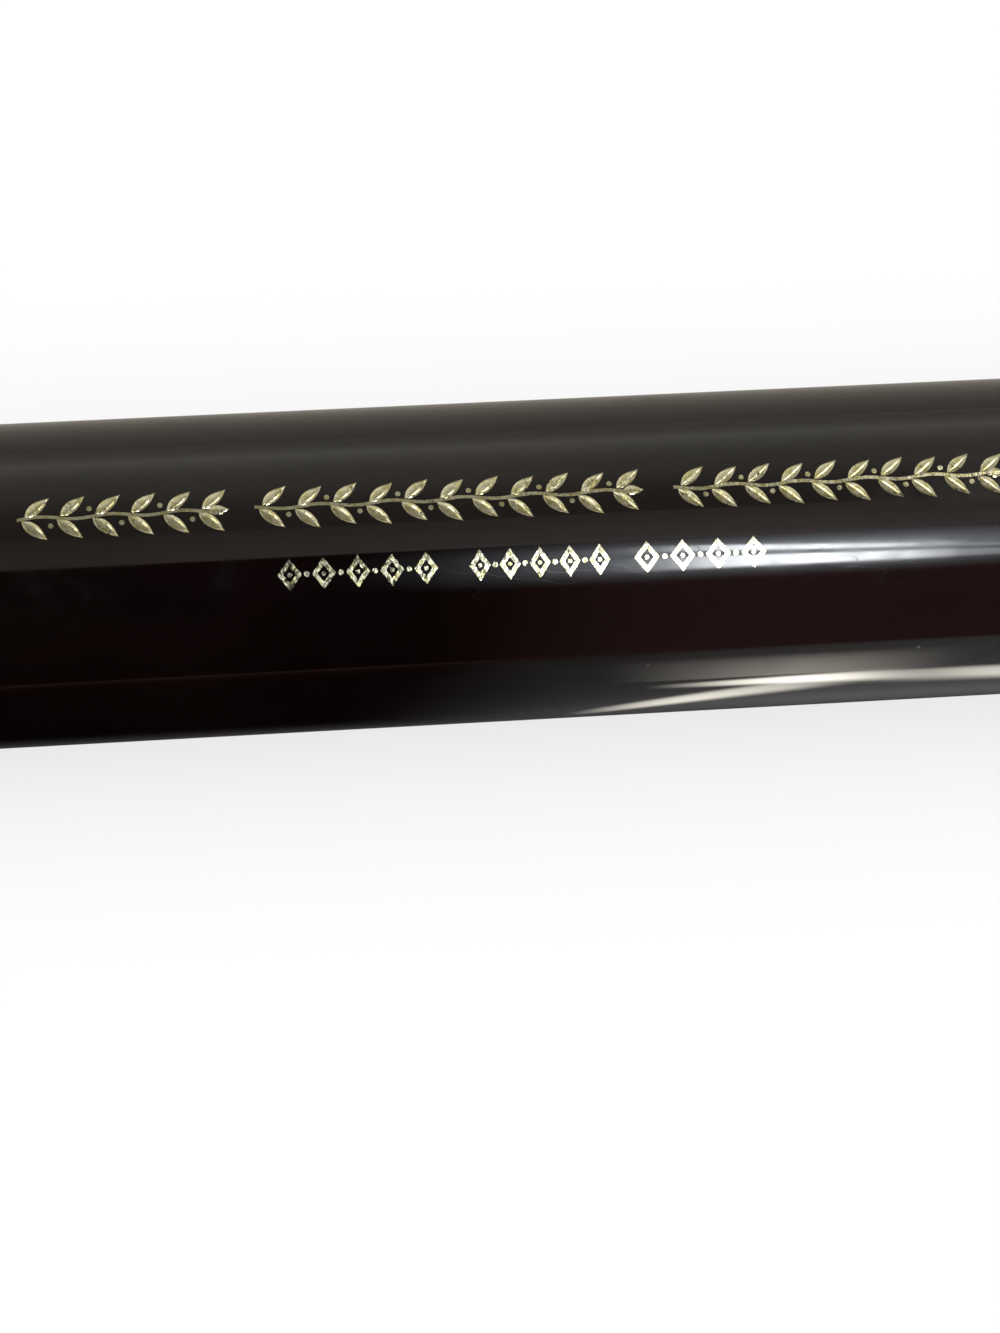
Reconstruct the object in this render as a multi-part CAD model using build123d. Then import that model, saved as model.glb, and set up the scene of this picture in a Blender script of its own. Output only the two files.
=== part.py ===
from build123d import *
import os
from math import atan2, cos, degrees, hypot, pi, radians, sin

# A twist-up kohl liner, lying on its side along X: the turning base is at -X and the pull-off cap at +X.
# Turning the base clockwise, seen from its own end, drives the kohl stick out of the nozzle.
# All sizes are in millimetres. The pieces are made about the X axis, and each is lifted by the body radius
# when it is written, so that the liner rests on Z = 0.

# ------------------------------------------------------------------ driving dimensions
body_radius = 4.8  # base, barrel and cap are flush
overall_length = 134.0
base_length = 15.0
cap_length = 47.7
seam = 0.3  # open seam on each side of the barrel
shell_wall = 0.42  # drawn aluminium of the three outer shells
shell_end_rounding = 0.7
cap_end_wall = 0.6
edge_break = 0.12
turned_in = 0.4  # thickness of the turned-in edges that hold the plastic cores in the shells

film = 0.02  # radial gap of glued and pressed seats
running_gap = 0.1  # radial gap of turning and sliding seats

lead_radius = 1.6
lead_length = 35.5
lead_recess = 1.5  # how far inside the nozzle mouth the tip is stored
lead_travel = 21.0
spiral_pitch = 10.5  # travel of the stick for each turn of the base
spiral_starts = 2

# ------------------------------------------------------------------ stations along the axis
tail = -overall_length / 2
base_front = tail + base_length
barrel_rear = base_front + seam
cap_front = overall_length / 2
cap_rear = cap_front - cap_length
barrel_front = cap_rear - seam

neck_front = barrel_front + 11.0  # the cap slides over the neck
seal_width = 0.95  # room for the sealing ring between neck and nozzle flange
nozzle_flange = 0.8
nozzle_shoulder = neck_front + seal_width + nozzle_flange
nozzle_mouth = nozzle_shoulder + 13.25

lead_tip = nozzle_mouth - lead_recess
lead_rear = lead_tip - lead_length
lug_station = tail + 53.0  # the carrier's lugs, with the stick fully drawn in

button_seat = tail + 1.4  # the tail button's flange lies between this and the turned-in edge
spiral_rear = tail + 24.9
spiral_front = tail + 76.0
fork_rear = tail + 46.0
fork_flange_rear = spiral_front + running_gap
fork_flange_front = fork_flange_rear + 1.0
spigot_rear = neck_front - 9.0
brake_rear = tail + 18.0  # groove of the brake ring
brake_front = tail + 18.9
snap_rear = tail + 23.0
snap_front = tail + 24.0
spline_rear = spiral_rear + 0.2
spline_front = spiral_rear + 8.5

# ------------------------------------------------------------------ radii, from the outside in
shell_bore = body_radius - shell_wall
core_radius = shell_bore - film
nozzle_flange_radius = 3.85
collar_radius = 3.96
snap_radius = 4.02  # groove in the barrel core that the base's bead snaps into
button_hole = 3.9
lip_hole = 3.78
neck_radius = lip_hole - film
barrel_bore = 3.75
brake_outer = barrel_bore - 0.01
brake_bore = brake_outer - 0.84
journal_radius = barrel_bore - running_gap
groove_root = 3.3
spigot_radius = 3.1  # nozzle spigot, pressed into the neck
spiral_bore = 2.78
fork_outer = spiral_bore - running_gap
fork_bore = 2.2
carrier_radius = fork_bore - running_gap
lug_reach = groove_root - running_gap
core_bore = 2.1
mouth_bore = lead_radius + running_gap

# ------------------------------------------------------------------ mechanism details
lug_radius = 0.55
slot_width = 2 * (lug_radius + running_gap)
spline_count = 4
spline_width = 0.9
spline_height = 0.35


def turned(*corners):
    """Solid of revolution about X, from the corners (x, radius) or (x, radius, bevel) of its half section."""
    section = make_face(Polyline(*[corner[:2] for corner in corners], close=True)).face()
    for x, radius, *bevel in corners:
        if bevel:
            corner = section.vertices().sort_by_distance((x, radius, 0))[0]
            section = section.chamfer_2d(bevel[0], bevel[0], [corner])
    return revolve(section, Axis.X)


def tube(rear, front, outer, inner):
    """Plain ring or tube about X."""
    return turned((rear, inner), (front, inner), (front, outer), (rear, outer))


def ring(station, outer, inner):
    """Lathe-cut rubber ring about X, as wide as it is thick."""
    side = outer - inner
    return tube(station - side / 2, station + side / 2, outer, inner)


def rounded(x, radius, rounding, inward):
    """Corners of a rim that is rounded in three flats; inward is the X direction from the rim to the piece."""
    return [
        (x + inward * rounding * (1 - sin(radians(turn))), radius - rounding * (1 - cos(radians(turn))))
        for turn in (0, 30, 60, 90)
    ]


def blades(rear, front, width, count, reach=body_radius):
    """Flat blades through the axis, evenly turned about it: an even count of wings, two to a blade."""
    blade = Pos((rear + front) / 2, 0, 0) * Box(front - rear, 2 * reach, width)
    return Part() + [Rot(X=360 / count * n) * blade for n in range(count // 2)]


# ------------------------------------------------------------------ outer shells
def base_shell():
    """Drawn shell of the turning base, with both edges turned in."""
    return turned(
        (tail, button_hole),
        *reversed(rounded(tail, body_radius, shell_end_rounding, 1)),
        (base_front, body_radius, edge_break),
        (base_front, lip_hole),
        (base_front - turned_in, lip_hole),
        (base_front - turned_in, shell_bore),
        (tail + turned_in, shell_bore),
        (tail + turned_in, button_hole),
    )


def barrel_shell():
    """Long lacquered shell, open behind and turned in at the neck."""
    return turned(
        (barrel_rear, shell_bore),
        (barrel_rear, body_radius, edge_break),
        (barrel_front, body_radius, edge_break),
        (barrel_front, lip_hole),
        (barrel_front - turned_in, lip_hole),
        (barrel_front - turned_in, shell_bore),
    )


def cap_shell():
    """Deep-drawn cap with a flat end and a softly rounded rim."""
    return turned(
        (cap_rear, shell_bore),
        (cap_rear, body_radius, edge_break),
        *rounded(cap_front, body_radius, shell_end_rounding, -1),
        (cap_front, 0),
        (cap_front - cap_end_wall, 0),
        (cap_front - cap_end_wall, shell_bore, shell_end_rounding - shell_wall),
    )


# ------------------------------------------------------------------ barrel core, neck and nozzle
def inner_barrel():
    """Moulded core of the barrel: bore for the mechanism, snap groove for the base, and the neck."""
    rear = barrel_rear + 0.6
    seat = barrel_front - turned_in
    core = turned(
        (rear, barrel_bore),
        (rear, core_radius),
        (seat, core_radius),
        (seat, neck_radius),
        (neck_front, neck_radius),
        (neck_front, spigot_radius + film),
        (fork_flange_front, spigot_radius + film),
        (fork_flange_front, barrel_bore),
    )
    return core - tube(snap_rear, snap_front, snap_radius, barrel_bore)


def neck_collar():
    """Thin stamped sleeve over the neck; the cap slides on it."""
    return turned(
        (barrel_front, neck_radius + film),
        (barrel_front, collar_radius),
        (neck_front, collar_radius, edge_break),
        (neck_front, neck_radius + film),
    )


def neck_seal_ring():
    """Soft ring between the neck and the nozzle's flange; it seals the cap's liner."""
    return ring(neck_front + seal_width / 2, collar_radius + film, spigot_radius)


def nozzle():
    """Tapered nose with a slightly bellied side, a flange behind it and a spigot pressed into the neck."""
    flange_rear = nozzle_shoulder - nozzle_flange
    nose_base, nose_tip, belly, rim_bevel = 3.3, 2.25, 0.14, 0.18
    nose_middle = (nozzle_shoulder + nozzle_mouth) / 2
    land_rear = nozzle_mouth - 8.0  # the narrow bore from here on steadies the stick
    land_lead_in = 0.5
    seat = fork_outer + film
    return turned(
        (nozzle_shoulder, nose_base),
        (nose_middle, (nose_base + nose_tip) / 2 + belly),
        (nozzle_mouth, nose_tip, rim_bevel),
        (nozzle_mouth, mouth_bore),
        (land_rear, mouth_bore),
        (land_rear - land_lead_in, fork_bore),
        (neck_front, fork_bore),
        (neck_front, seat),
        (spigot_rear, seat),
        (spigot_rear, spigot_radius),
        (flange_rear, spigot_radius),
        (flange_rear, nozzle_flange_radius),
        (nozzle_shoulder, nozzle_flange_radius),
    )


# ------------------------------------------------------------------ twist mechanism
def guide_fork():
    """Two-pronged guide: its slots keep the carrier's lugs from turning with the spiral."""
    slot_front = lug_station + lead_travel + lug_radius + running_gap
    body = turned(
        (fork_rear, fork_bore),
        (fork_rear, fork_outer),
        (fork_flange_rear, fork_outer),
        (fork_flange_rear, journal_radius),
        (fork_flange_front, journal_radius),
        (fork_flange_front, fork_outer),
        (neck_front, fork_outer),
        (neck_front, fork_bore),
    )
    slot = Plane.XZ * Pos(fork_rear, 0) * SlotOverall(2 * (slot_front - fork_rear), slot_width)
    return body - extrude(slot, body_radius, both=True)


# The turn keeps the seam line of the sleeve's round faces away from the ends of the grooves.
seam_turn = Rot(X=45)


def spiral_groove(start):
    """One left-hand cam groove: blind behind the drawn-in lug, open at the front for assembly."""
    cutter_bore, cutter_reach = spiral_bore - 0.2, groove_root + 0.25
    run_out = 1.0  # the cutter leaves the sleeve by this much
    middle_radius = (cutter_bore + cutter_reach) / 2
    travel_per_radian = spiral_pitch / (2 * pi)
    overrun = (lug_radius + 2 * running_gap) / hypot(groove_root, travel_per_radian)
    groove_rear = lug_station - overrun * travel_per_radian
    path = Helix(
        spiral_pitch,
        spiral_front + run_out - groove_rear,
        middle_radius,
        center=(groove_rear, 0, 0),
        direction=(1, 0, 0),
        lefthand=True,
    )
    first = path @ 0
    wanted = degrees(overrun) + 360 / spiral_starts * start
    path = Rot(X=wanted - degrees(atan2(first.Z, first.Y))) * path
    first = path @ 0
    across = Plane(first, x_dir=(0, first.Y, first.Z), z_dir=path % 0)
    cutter = sweep(across * Rectangle(cutter_reach - cutter_bore, slot_width), path=path, is_frenet=True)
    return cutter & seam_turn * tube(spiral_rear, spiral_front + run_out, groove_root, cutter_bore - 0.2)


def spiral_sleeve():
    """Turning sleeve with two cam grooves inside; slots behind them take the drive from the base."""
    sleeve = seam_turn * tube(spiral_rear, spiral_front, journal_radius, spiral_bore)
    for start in range(spiral_starts):
        sleeve -= spiral_groove(start)
    return sleeve - splines(spiral_rear, spline_front, film)


def splines(rear, front, allowance):
    """Drive splines of the base core, or their slots when an allowance is added."""
    outer = spiral_bore + spline_height + allowance
    wings = blades(rear, front, spline_width + 2 * allowance, spline_count)
    return wings & tube(rear, front, outer, spiral_bore - spline_height)


def base_core():
    """Core of the base: webbed drum in the shell, journal, ring groove, snap fingers, splined spigot."""
    drum_front = base_front - turned_in
    finger_front = spiral_rear - 0.3
    spigot, spigot_bevel = spiral_bore - film, 0.3
    spigot_front = spline_front + spigot_bevel
    core = turned(
        (button_seat, core_bore),
        (button_seat, core_radius),
        (drum_front, core_radius),
        (drum_front, journal_radius),
        (finger_front, journal_radius),
        (finger_front, spigot),
        (spigot_front, spigot, spigot_bevel),
        (spigot_front, core_bore),
    )
    core += splines(spline_rear, spline_front, 0)
    core += snap_bead()

    ring_groove = tube(brake_rear, brake_front, body_radius, brake_bore - film)
    finger_rear, finger_wall, finger_gap, finger_count = snap_rear - 3.6, 0.6, 0.7, 4
    behind_fingers = tube(finger_rear, spiral_rear, journal_radius - finger_wall, spigot)
    between_fingers = blades(finger_rear, spiral_rear, finger_gap, finger_count)
    between_fingers &= tube(finger_rear, spiral_rear, body_radius, spigot)
    drum_wall, web_width, web_count = 0.7, 0.7, 4
    pocket_front = drum_front - 1.5
    pocket = tube(button_seat, pocket_front, core_radius - drum_wall, core_bore + drum_wall)
    pocket -= blades(button_seat, pocket_front, web_width, web_count)
    return core - ring_groove - behind_fingers - between_fingers - pocket


def snap_bead():
    """Bead on the fingers, sloped in front to go in and steep behind to stay in."""
    rear, front = snap_rear + running_gap, snap_front - running_gap
    root, crest, crest_width = journal_radius - 0.3, snap_radius - running_gap, 0.35
    return turned(
        (rear, root),
        (front, root),
        (front, journal_radius),
        (rear + crest_width, crest),
        (rear, crest),
    )


def brake_ring():
    """Rubber ring in the base core's groove: its drag keeps the base where it is left."""
    return ring((brake_rear + brake_front) / 2, brake_outer, brake_bore)


def end_plug():
    """Shade-coloured button in the tail, its flange trapped behind the base shell's turned-in edge."""
    face, face_bevel = tail + 0.12, 0.2
    stem_front, stem_bevel = button_seat + 5.0, 0.3
    stem_radius, stem_bore = core_bore - film, 1.4
    stem_slot_width, stem_slot_rear = 0.6, button_seat + 1.2
    plug = turned(
        (face, 0),
        (face, button_hole - film, face_bevel),
        (tail + turned_in, button_hole - film),
        (tail + turned_in, core_radius),
        (button_seat, core_radius),
        (button_seat, stem_radius),
        (stem_front, stem_radius, stem_bevel),
        (stem_front, stem_bore),
        (button_seat, stem_bore),
        (button_seat, 0),
    )
    return plug - blades(stem_slot_rear, stem_front, stem_slot_width, 2)


# ------------------------------------------------------------------ carrier and stick
def lead_carrier():
    """Pusher: lugged hub behind, ribbed rod, and a split cup that grips the stick."""
    hub_rear, hub_front = lug_station - 4.0, lug_station + 4.0
    pocket_radius, pocket_front = 1.1, lug_station - 1.5
    hub = turned(
        (hub_rear, pocket_radius),
        (hub_rear, carrier_radius),
        (hub_front, carrier_radius),
        (hub_front, 0),
        (pocket_front, 0),
        (pocket_front, pocket_radius),
    )
    lugs = Pos(lug_station, 0, 0) * Rot(X=90) * Cylinder(lug_radius, 2 * lug_reach)

    cup_rear, cup_front, cup_bore = lead_rear - 3.0, lead_rear + 7.0, lead_radius + film
    cup = turned(
        (cup_rear, 0),
        (cup_rear, carrier_radius),
        (cup_front, carrier_radius, edge_break),
        (cup_front, cup_bore),
        (lead_rear, cup_bore),
        (lead_rear, 0),
    )
    petal_gap, petal_length, petals = 0.5, 5.5, 2
    cup -= Rot(X=45) * blades(cup_front - petal_length, cup_front, petal_gap, petals)

    rod_radius, rod_web, rod_wings, rod_root = carrier_radius - 0.15, 1.1, 4, 0.5
    rod = blades(hub_front - rod_root, cup_rear + rod_root, rod_web, rod_wings, rod_radius)
    return hub + lugs + rod + cup


def kohl_lead():
    """Soft kohl stick with a blunt point."""
    point_length = 3.4
    point_rear = lead_tip - point_length
    return turned(
        (lead_rear, 0),
        (lead_rear, lead_radius),
        (point_rear, lead_radius),
        (point_rear + 0.50 * point_length, 0.77 * lead_radius),
        (point_rear + 0.88 * point_length, 0.30 * lead_radius),
        (lead_tip, 0),
    )


# ------------------------------------------------------------------ inside of the cap
def cap_liner():
    """Moulded liner: wide mouth over the neck, narrow ribbed tube ahead of it, closed end."""
    rear, front = cap_rear + 0.4, cap_front - cap_end_wall
    step, step_slope, step_wall = nozzle_shoulder + 1.2, 0.5, 0.6
    mouth, nose_room = collar_radius + 0.06, 3.5
    narrow, end_wall, end_bevel = 4.0, 0.5, 0.4
    liner = turned(
        (rear, mouth),
        (rear, core_radius),
        (step + step_wall, core_radius),
        (step + step_wall, narrow),
        (front, narrow, end_bevel),
        (front, 0),
        (front - end_wall, 0),
        (front - end_wall, nose_room),
        (step + step_slope, nose_room),
        (step, mouth),
    )
    rib_front, rib_width, rib_count, rib_root = front - 1.2, 0.6, 4, 0.2
    ribs = blades(step, rib_front, rib_width, rib_count)
    return liner + (ribs & tube(step, rib_front, core_radius, narrow - rib_root))


# ------------------------------------------------------------------ every piece, one STEP file each
pieces = {
    "base_shell": base_shell(),
    "base_core": base_core(),
    "brake_ring": brake_ring(),
    "end_plug": end_plug(),
    "spiral_sleeve": spiral_sleeve(),
    "barrel_shell": barrel_shell(),
    "inner_barrel": inner_barrel(),
    "neck_collar": neck_collar(),
    "neck_seal_ring": neck_seal_ring(),
    "nozzle": nozzle(),
    "guide_fork": guide_fork(),
    "lead_carrier": lead_carrier(),
    "kohl_lead": kohl_lead(),
    "cap_shell": cap_shell(),
    "cap_liner": cap_liner(),
}

os.makedirs("parts", exist_ok=True)
for name, piece in pieces.items():
    export_step(Pos(0, 0, body_radius) * piece, f"parts/{name}.step")
    print(name, "solids", len(piece.solids()), "volume", round(piece.volume, 2))
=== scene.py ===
from math import cos, pi, radians, sin

import bmesh
import bpy
from bpy.props import FloatProperty, FloatVectorProperty, IntProperty, PointerProperty
from bpy.types import Operator, Panel, PropertyGroup
from mathutils import Matrix, Vector


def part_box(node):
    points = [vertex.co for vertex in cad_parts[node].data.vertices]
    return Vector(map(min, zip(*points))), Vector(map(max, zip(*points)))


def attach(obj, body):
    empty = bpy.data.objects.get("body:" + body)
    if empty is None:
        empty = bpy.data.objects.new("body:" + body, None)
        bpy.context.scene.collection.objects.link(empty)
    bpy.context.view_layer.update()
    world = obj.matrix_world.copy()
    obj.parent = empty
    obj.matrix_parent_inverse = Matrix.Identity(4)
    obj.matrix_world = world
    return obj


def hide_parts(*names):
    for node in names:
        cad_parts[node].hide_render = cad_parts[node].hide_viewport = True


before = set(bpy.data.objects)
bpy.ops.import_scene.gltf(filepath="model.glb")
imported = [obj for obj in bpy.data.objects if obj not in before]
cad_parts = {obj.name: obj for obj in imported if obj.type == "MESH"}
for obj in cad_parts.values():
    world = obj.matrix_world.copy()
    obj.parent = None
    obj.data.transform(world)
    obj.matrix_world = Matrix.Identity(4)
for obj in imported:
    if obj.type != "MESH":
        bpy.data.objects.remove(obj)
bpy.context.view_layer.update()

bl_info = {
    "name": "Kohl Liner Dresser",
    "version": (1, 0, 0),
    "blender": (4, 5, 0),
    "location": "3D Viewport > Sidebar > Liner",
    "description": "Dresses the pieces of a twist-up kohl liner",
    "category": "Object",
}

CREASE = radians(35)
SUPPORT = 0.00004  # extra ring beside a rounding, so that its shading stays beside it
SEAT = 0.00002  # gap between pieces that are pressed or glued together
MM = 0.001

# Foil groups along the barrel, in millimetres: where one starts, its length and how many repeats it has.
LAUREL_SPRIGS = ((-14.31, 6.07, 6), (-7.52, 11.31, 11), (4.67, 9.88, 10))
LOZENGE_GROUPS = ((-7.13, 4.93, 5), (-1.57, 4.36, 5), (3.21, 4.19, 4))
STEM_WIDTH = 0.1
STEM_SWAY = 0.05
LEAF_WIDTH = 0.34
LEAF_LEAN = radians(40)
UPPER_SHIFT = 0.1  # the leaves above the stem stand this much further on
BERRY = 0.08
STROKE = 0.13
EYE = 0.065


# ------------------------------------------------------------------ sizes and colours
def length(name, description, default):
    """A length in metres."""
    return FloatProperty(name=name, description=description, default=default, precision=5, unit="LENGTH")


def angle(name, description, degrees):
    """An angle, given here in degrees."""
    return FloatProperty(name=name, description=description, default=radians(degrees), subtype="ANGLE")


def colour(name, description, *screen):
    """A colour, given here as the red, green and blue that a screen shows, from 0 to 255."""
    linear = [((c / 255 + 0.055) / 1.055) ** 2.4 if c > 10 else c / 255 / 12.92 for c in screen]
    return FloatVectorProperty(
        name=name, description=description, default=linear, subtype="COLOR", min=0, max=1,
    )


def brightness(name, description, default):
    """Strength of a lamp or card; 1 shows white."""
    return FloatProperty(name=name, description=description, default=default, min=0)


class LinerSizes(PropertyGroup):
    """Sizes of the lathed pieces."""

    body_radius: length("Body radius", "Outer radius of base, barrel and cap", 0.0048)
    shell_wall: length("Shell wall", "Thickness of the drawn shells", 0.00042)
    turned_in: length("Turned-in edge", "Thickness of the edges that hold the cores", 0.0004)
    button_hole: length("Button hole", "Radius of the hole in the tail", 0.0039)
    lip_hole: length("Lip hole", "Radius inside the turned-in edges at the seams", 0.00378)
    end_rounding: length("End rounding", "Rounding of the tail and of the cap's end", 0.0007)
    edge_break: length("Edge break", "Rounding of the edges at the seams", 0.00012)
    cap_end_wall: length("Cap end wall", "Thickness of the cap's flat end", 0.0006)
    collar_radius: length("Collar radius", "Outer radius of the gold collar", 0.00396)
    collar_bore: length("Collar bore", "Inner radius of the gold collar", 0.00378)
    flange_radius: length("Flange radius", "Radius of the nozzle's flange", 0.00385)
    flange: length("Flange", "Thickness of the nozzle's flange", 0.0008)
    nose_base: length("Nose base", "Radius of the nose at its flange", 0.0033)
    nose_tip: length("Nose tip", "Radius of the nose at its mouth", 0.00225)
    nose_belly: length("Nose belly", "How far the side of the nose bulges", 0.00015)
    nose_rim: length("Nose rim", "Rounding at the mouth", 0.0002)
    mouth_bore: length("Mouth bore", "Radius of the mouth", 0.0017)
    fork_bore: length("Wide bore", "Radius of the bore behind the mouth", 0.0022)
    lead_radius: length("Stick radius", "Radius of the kohl stick", 0.0016)
    lead_point: length("Stick point", "Length of the stick's point", 0.0034)
    steps: IntProperty(
        name="Lathe steps", description="Faces round each lathed piece", default=144, min=24, max=360,
    )


class LinerColours(PropertyGroup):
    """Colours of the finishes."""

    lacquer: colour("Lacquer", "Very dark plum-brown lacquer of the shells", 8, 3, 3)
    lacquer_light: colour("Lacquer, light", "Where the lacquer coat is thin", 12, 5, 5)
    aluminium: colour("Aluminium", "Bare drawn metal under the lacquer and inside the shells", 196, 194, 190)
    foil: colour("Foil", "Pale gold stamping foil", 235, 229, 198)
    foil_deep: colour("Foil, deep", "Where the foil lies deep or is rubbed", 214, 207, 154)
    collar: colour("Collar", "Pale gold anodising of the collar", 214, 184, 128)
    black: colour("Black moulding", "Nozzle and cap liner", 19, 18, 18)
    shade: colour("Shade", "Taupe of the tail button, which shows the stick's colour", 104, 90, 82)
    kohl: colour("Kohl", "Taupe of the stick", 92, 79, 72)
    kohl_light: colour("Kohl, rubbed", "Where the stick's skin is rubbed", 122, 107, 98)
    natural: colour("Natural moulding", "Undyed acetal of the hidden mechanism", 226, 222, 208)
    spiral: colour("Spiral moulding", "Greyed acetal of the spiral sleeve", 158, 160, 158)
    rubber: colour("Rubber", "Sealing and brake rings", 38, 36, 37)
    floor: colour("Floor", "Plain floor", 254, 254, 254)


class FoilLayout(PropertyGroup):
    """Where the stamped foil ornament lies on the barrel."""

    station: length("Centre", "Station that the ornament is laid out from", -0.017)
    border_turn: angle("Border turn", "Laurel border, turned up from the front", 96.5)
    row_turn: angle("Row turn", "Lozenge row, turned up from the front", 72.5)
    border_height: length("Border height", "Height of the laurel border", 0.00130)
    row_height: length("Row height", "Height of the lozenge row", 0.00092)
    proud: length("Proud", "How far the foil stands above the lacquer", 0.000008)
    sunk: length("Sunk", "How far the foil's underside lies in the lacquer", 0.000006)


class StageSettings(PropertyGroup):
    """Camera, lamp and cards."""

    view_station: length("View station", "Station on the axis that the camera looks at", -0.017)
    view_drop: length("View drop", "How far the middle of the picture lies below the axis", 0.003155)
    distance: length("Distance", "From the camera to the liner's axis", 0.1194)
    elevation: angle("Elevation", "Camera above the floor", 75.0)
    yaw: angle("Yaw", "Camera turned towards the cap", 6.5)
    roll: angle("Roll", "Right side of the liner up", 3.05)
    lens: FloatProperty(name="Lens", description="Focal length in millimetres", default=107.3, min=10)
    fill: brightness("Fill", "Brightness of the broad soft lamp", 1.38)
    window: brightness("Window", "Brightness of the cool window cards", 28.0)
    streak: brightness("Streak", "Brightness of the low warm reflector", 14.0)


def stations(node):
    """Rear and front station of a node."""
    low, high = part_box(node)
    return low.x, high.x


# ------------------------------------------------------------------ making meshes
def lathe(corners):
    """Spins a closed half section about the liner's axis.

    A corner is (station, radius) or (station, radius, rounding). A section that ends on the axis makes
    a solid piece.
    """
    sizes = bpy.context.scene.liner_sizes
    axis = Vector((0, 0, sizes.body_radius))
    places = [axis + Vector((corner[0], 0, corner[1])) for corner in corners]
    bm = bmesh.new()
    rim = bm.verts.layers.float.new("rim")
    outline, soft = [], {}
    for n, corner in enumerate(corners):
        if len(corner) == 2:
            outline.append(bm.verts.new(places[n]))
            continue
        reach = corner[2] + SUPPORT
        arms = [places[n - 1] - places[n], places[(n + 1) % len(places)] - places[n]]
        supports = [
            places[n] + arm.normalized() * reach if arm.length > reach + SUPPORT else None
            for arm in arms
        ]
        if supports[0]:
            outline.append(bm.verts.new(supports[0]))
        outline.append(bm.verts.new(places[n]))
        soft.setdefault(corner[2], []).append(outline[-1])
        if supports[1]:
            outline.append(bm.verts.new(supports[1]))
    bm.faces.new(outline)
    for rounding, verts in soft.items():
        made = bmesh.ops.bevel(
            bm, geom=verts, offset=rounding, offset_type="OFFSET", profile=0.5, affect="VERTICES",
            segments=max(3, round(rounding / MM * 10)), material=-1,
        )
        for vert in made["verts"]:
            vert[rim] = 1.0
    bmesh.ops.delete(bm, geom=bm.faces[:], context="FACES_ONLY")
    for edge in bm.edges[:]:
        if max(vert.co.z for vert in edge.verts) - axis.z < 1e-9:
            bm.edges.remove(edge)
    bmesh.ops.spin(
        bm, geom=bm.verts[:] + bm.edges[:], cent=axis, axis=(1, 0, 0), angle=2 * pi, steps=sizes.steps,
        use_merge=True,
    )
    bmesh.ops.remove_doubles(bm, verts=bm.verts[:], dist=1e-8)
    bmesh.ops.recalc_face_normals(bm, faces=bm.faces[:])
    return bm


def inner_faces(bm, radius):
    """Gives the second finish to the faces that lie within a radius of the liner's axis."""
    height = bpy.context.scene.liner_sizes.body_radius
    for face in bm.faces:
        middle = face.calc_center_median()
        if Vector((middle.y, middle.z - height)).length < radius:
            face.material_index = 1


def piece(name, bm, body, finishes, replaced=()):
    """Makes a shown piece of a bmesh: it rides on a body and may stand for CAD nodes."""
    for face in bm.faces:
        face.smooth = True
    for edge in bm.edges:
        edge.smooth = len(edge.link_faces) == 2 and edge.calc_face_angle() < CREASE
    mesh = bpy.data.meshes.new(name)
    bm.to_mesh(mesh)
    bm.free()
    made = bpy.data.objects.new(name, mesh)
    bpy.context.scene.collection.objects.link(made)
    for finish in finishes:
        mesh.materials.append(finish)
    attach(made, body)
    if replaced:
        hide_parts(*replaced)
    return made


# ------------------------------------------------------------------ foil shapes, flat and in millimetres
def shift(along, across=0.0):
    """Moves a flat shape along the liner and across."""
    return Matrix.Translation((along, across, 0))


def flat_leaf(bm, size, width, place):
    """Pointed leaf from its stalk at the origin to its tip along X, pressed deeper towards its sides."""
    rim = bm.verts.layers.float.get("rim") or bm.verts.layers.float.new("rim")
    made = bmesh.ops.create_grid(bm, x_segments=10, y_segments=6, size=1.0)["verts"]
    for vert in made:
        along, across = vert.co.xy
        along = sin(along * pi / 2)
        vert[rim] = across * across
        vert.co = ((along + 1) / 2 * size, across * width / 2 * (1 - along * along) * (1 - 0.3 * along), 0)
    bmesh.ops.transform(bm, matrix=place, verts=made)
    bmesh.ops.remove_doubles(bm, verts=made, dist=1e-6)


def flat_dot(bm, radius, place):
    """Round berry or dot."""
    made = bmesh.ops.create_circle(bm, cap_ends=True, segments=10, radius=radius)["verts"]
    bmesh.ops.transform(bm, matrix=place, verts=made)


def flat_lozenge(bm, width, height, stroke, place):
    """Hollow lozenge, drawn with a stroke."""
    made = bmesh.ops.create_circle(bm, cap_ends=True, segments=4, radius=0.5)["verts"]
    bmesh.ops.transform(bm, matrix=place @ Matrix.Diagonal((width, height, 1, 1)), verts=made)
    face = next(face for face in bm.faces if all(vert in face.verts for vert in made))
    bmesh.ops.inset_region(bm, faces=[face], thickness=stroke, use_boundary=True, use_even_offset=True)
    bmesh.ops.delete(bm, geom=[face], context="FACES")


def flat_stem(bm, start, end, width, sway, wave):
    """Thin stem along X that sways from side to side."""
    count = max(8, int((end - start) / wave * 12))
    made = bmesh.ops.create_grid(bm, x_segments=count, y_segments=1, size=0.5)["verts"]
    for vert in made:
        across = vert.co.y * width
        vert.co.x = start + (vert.co.x + 0.5) * (end - start)
        vert.co.y = across + sway * sin(2 * pi * vert.co.x / wave)


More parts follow.
